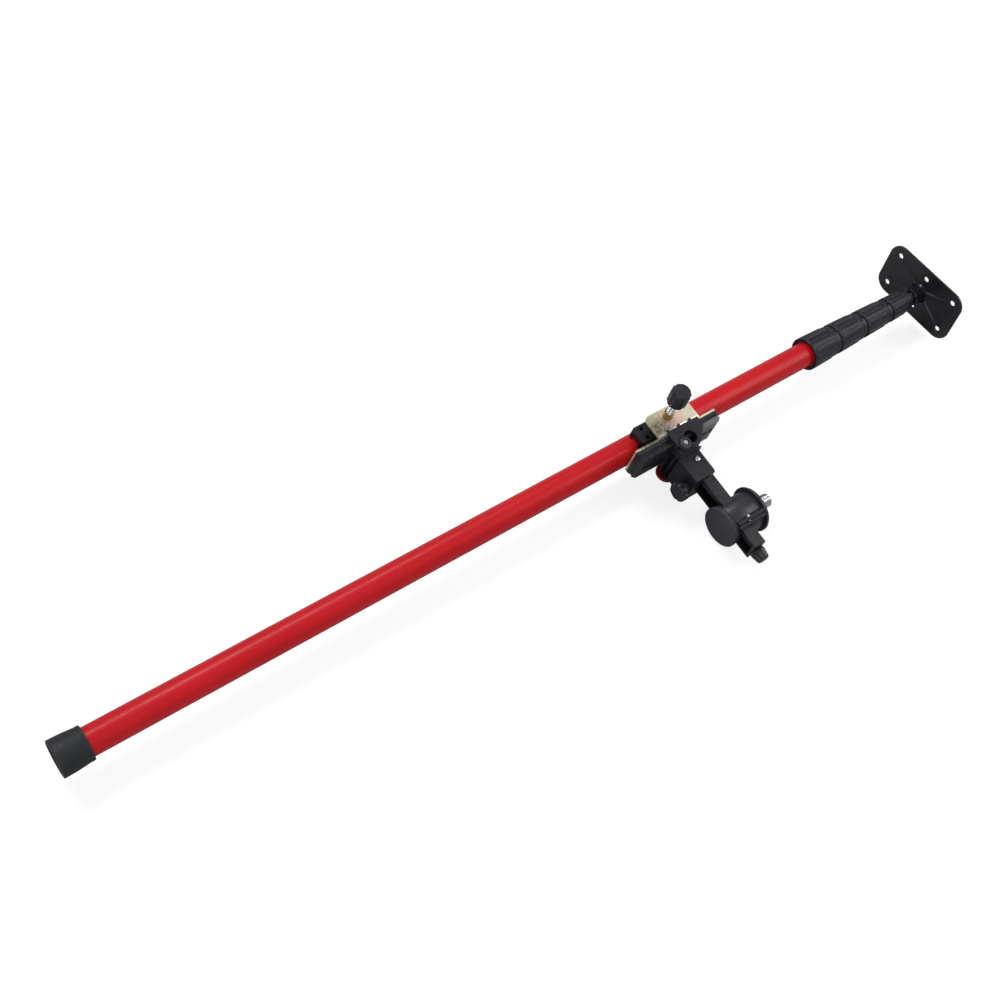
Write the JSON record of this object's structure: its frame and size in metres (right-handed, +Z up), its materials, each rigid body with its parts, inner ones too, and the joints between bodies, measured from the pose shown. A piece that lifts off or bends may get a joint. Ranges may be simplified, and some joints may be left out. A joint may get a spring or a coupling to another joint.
{
  "type": "telescopic floor-to-ceiling support pole",
  "caption": "Telescopic floor-to-ceiling pole with twist locks, a swivelling head plate and a clamp-on slide bracket whose arm carries a turning instrument stud.",
  "frame": {"origin": "middle of the foot cap's end face, on the pole's axis", "axes": "+X runs along the pole from its foot to its head plate, +Z is up with the pole lying on its side, and the bracket's arm reaches towards -Y, 7 degrees below level"},
  "size_m": [1.1655, 0.2467, 0.1353],
  "materials": {
    "red_paint": "gloss",
    "bright_tube": "satin",
    "black_rubber": "matte",
    "collar_plastic": "satin",
    "black_nylon": "satin",
    "pale_nylon": "matte",
    "body_plastic": "fine texture",
    "knob_plastic": "fine texture",
    "gloss_black": "gloss",
    "red_plastic": "gloss",
    "black_paint": "fine powder coat",
    "zinc_yellow": "yellow zinc passivate",
    "bright_steel": "bright",
    "black_anodised": "black anodised",
    "brass": "satin"
  },
  "bodies": {
    "pole_base": {"foot_cap": "black_rubber", "tube_1": "red_paint", "collet_1": "black_nylon"},
    "section_2": {"tube_2": "bright_tube", "guide_plug_2": "pale_nylon", "collet_2": "black_nylon"},
    "section_3": {"tube_3": "bright_tube", "guide_plug_3": "pale_nylon", "collet_3": "black_nylon"},
    "section_4": {"tube_4": "bright_tube", "guide_plug_4": "pale_nylon", "collet_4": "black_nylon"},
    "section_5": {"tube_5": "bright_tube", "guide_plug_5": "pale_nylon"},
    "lock_1": {"collar_1": "collar_plastic"},
    "lock_2": {"collar_2": "collar_plastic"},
    "lock_3": {"collar_3": "collar_plastic"},
    "lock_4": {"collar_4": "collar_plastic"},
    "ball": {"ball_stud": "bright_steel"},
    "head": {"ball_socket": "gloss_black", "head_plate": "black_paint"},
    "bracket": {"clamp_plate": "zinc_yellow", "weld_nut": "zinc_yellow", "saddle_pad": "black_rubber", "guide_bar": "black_anodised", "bar_screws": "bright_steel"},
    "presser": {"pressure_block": "black_nylon"},
    "clamp_handle": {"clamp_screw": "bright_steel", "clamp_knob": "knob_plastic"},
    "fine_slide": {"slide_body": "body_plastic", "carriage": "body_plastic", "carriage_screws": "bright_steel", "rail_gib": "brass", "tension_screw": "bright_steel"},
    "fine_drive": {"pinion_shaft": "bright_steel", "fine_wheel": "knob_plastic", "red_wheel": "red_plastic"},
    "rail_lock": {"rail_lock_screw": "bright_steel", "rail_lock_knob": "gloss_black"},
    "arm": {"rail": "black_anodised"},
    "arm_drive": {"lead_screw": "bright_steel", "end_knob": "gloss_black"},
    "turning_head": {"head_housing": "body_plastic", "lead_nut": "brass", "pinch_screw": "bright_steel"},
    "head_lock": {"head_lock_knob": "body_plastic", "head_lock_screw": "bright_steel"},
    "stand": {"platform": "body_plastic", "stud": "bright_steel"}
  },
  "joints": [
    {"name": "extend_2", "type": "slide", "parent": "pole_base", "child": "section_2", "axis": [1, 0, 0], "range_m": [0, 0.634]},
    {"name": "extend_3", "type": "slide", "parent": "section_2", "child": "section_3", "axis": [1, 0, 0], "range_m": [0, 0.634]},
    {"name": "extend_4", "type": "slide", "parent": "section_3", "child": "section_4", "axis": [1, 0, 0], "range_m": [0, 0.634]},
    {"name": "extend_5", "type": "slide", "parent": "section_4", "child": "section_5", "axis": [1, 0, 0], "range_m": [0, 0.634]},
    {"name": "twist_lock_1", "type": "hinge", "parent": "pole_base", "child": "lock_1", "pos_m": [0.957, 0, 0], "axis": [1, 0, 0], "range_deg": [0, 90]},
    {"name": "twist_lock_2", "type": "hinge", "parent": "section_2", "child": "lock_2", "pos_m": [1.0045, 0, 0], "axis": [1, 0, 0], "range_deg": [0, 90]},
    {"name": "twist_lock_3", "type": "hinge", "parent": "section_3", "child": "lock_3", "pos_m": [1.052, 0, 0], "axis": [1, 0, 0], "range_deg": [0, 90]},
    {"name": "twist_lock_4", "type": "hinge", "parent": "section_4", "child": "lock_4", "pos_m": [1.0995, 0, 0], "axis": [1, 0, 0], "range_deg": [0, 90]},
    {"name": "head_spin", "type": "hinge", "parent": "section_5", "child": "ball", "pos_m": [1.151, 0, 0], "axis": [1, 0, 0], "continuous": true},
    {"name": "head_tilt", "type": "hinge", "parent": "ball", "child": "head", "pos_m": [1.151, 0, 0], "axis": [0, 1, 0], "range_deg": [-20, 20]},
    {"name": "bracket_travel", "type": "slide", "parent": "pole_base", "child": "bracket", "axis": [1, 0, 0], "range_m": [-0.6, 0.16]},
    {"name": "clamp_lift", "type": "slide", "parent": "bracket", "child": "presser", "axis": [0, -0.1219, 0.9925], "range_m": [0, 0.006]},
    {"name": "clamp_turn", "type": "hinge", "parent": "presser", "child": "clamp_handle", "pos_m": [0.721, -0.00341, 0.02779], "axis": [0, -0.1219, 0.9925], "range_deg": [-9, 1737]},
    {"name": "fine_travel", "type": "slide", "parent": "bracket", "child": "fine_slide", "axis": [1, 0, 0], "range_m": [-0.03, 0.02]},
    {"name": "fine_turn", "type": "hinge", "parent": "fine_slide", "child": "fine_drive", "pos_m": [0.7165, -0.0395, 0.01328], "axis": [0, -0.1219, 0.9925], "range_deg": [-273, 183]},
    {"name": "rail_lock_turn", "type": "hinge", "parent": "fine_slide", "child": "rail_lock", "pos_m": [0.704, -0.07027, -0.00863], "axis": [-1, 0, 0], "range_deg": [0, 90]},
    {"name": "rail_travel", "type": "slide", "parent": "fine_slide", "child": "arm", "axis": [0, -0.9925, -0.1219], "range_m": [0, 0.015]},
    {"name": "arm_screw_turn", "type": "hinge", "parent": "arm", "child": "arm_drive", "pos_m": [0.729, -0.17071, -0.01693], "axis": [0, -0.9925, -0.1219], "range_deg": [-728, 1133]},
    {"name": "head_travel", "type": "slide", "parent": "arm", "child": "turning_head", "axis": [0, -0.9925, -0.1219], "range_m": [-0.025, 0.016]},
    {"name": "head_lock_turn", "type": "hinge", "parent": "turning_head", "child": "head_lock", "pos_m": [0.7165, -0.12804, -0.01572], "axis": [-1, 0, 0], "range_deg": [0, 90]},
    {"name": "stand_spin", "type": "hinge", "parent": "turning_head", "child": "stand", "pos_m": [0.7573, -0.12804, -0.01572], "axis": [1, 0, 0], "continuous": true}
  ],
  "couplings": [
    {"joint": "clamp_turn", "follows": "clamp_lift", "rad_per_m": 5026.5},
    {"joint": "fine_turn", "follows": "fine_travel", "rad_per_m": 156.86},
    {"joint": "arm_screw_turn", "follows": "head_travel", "rad_per_m": -785.4}
  ]
}
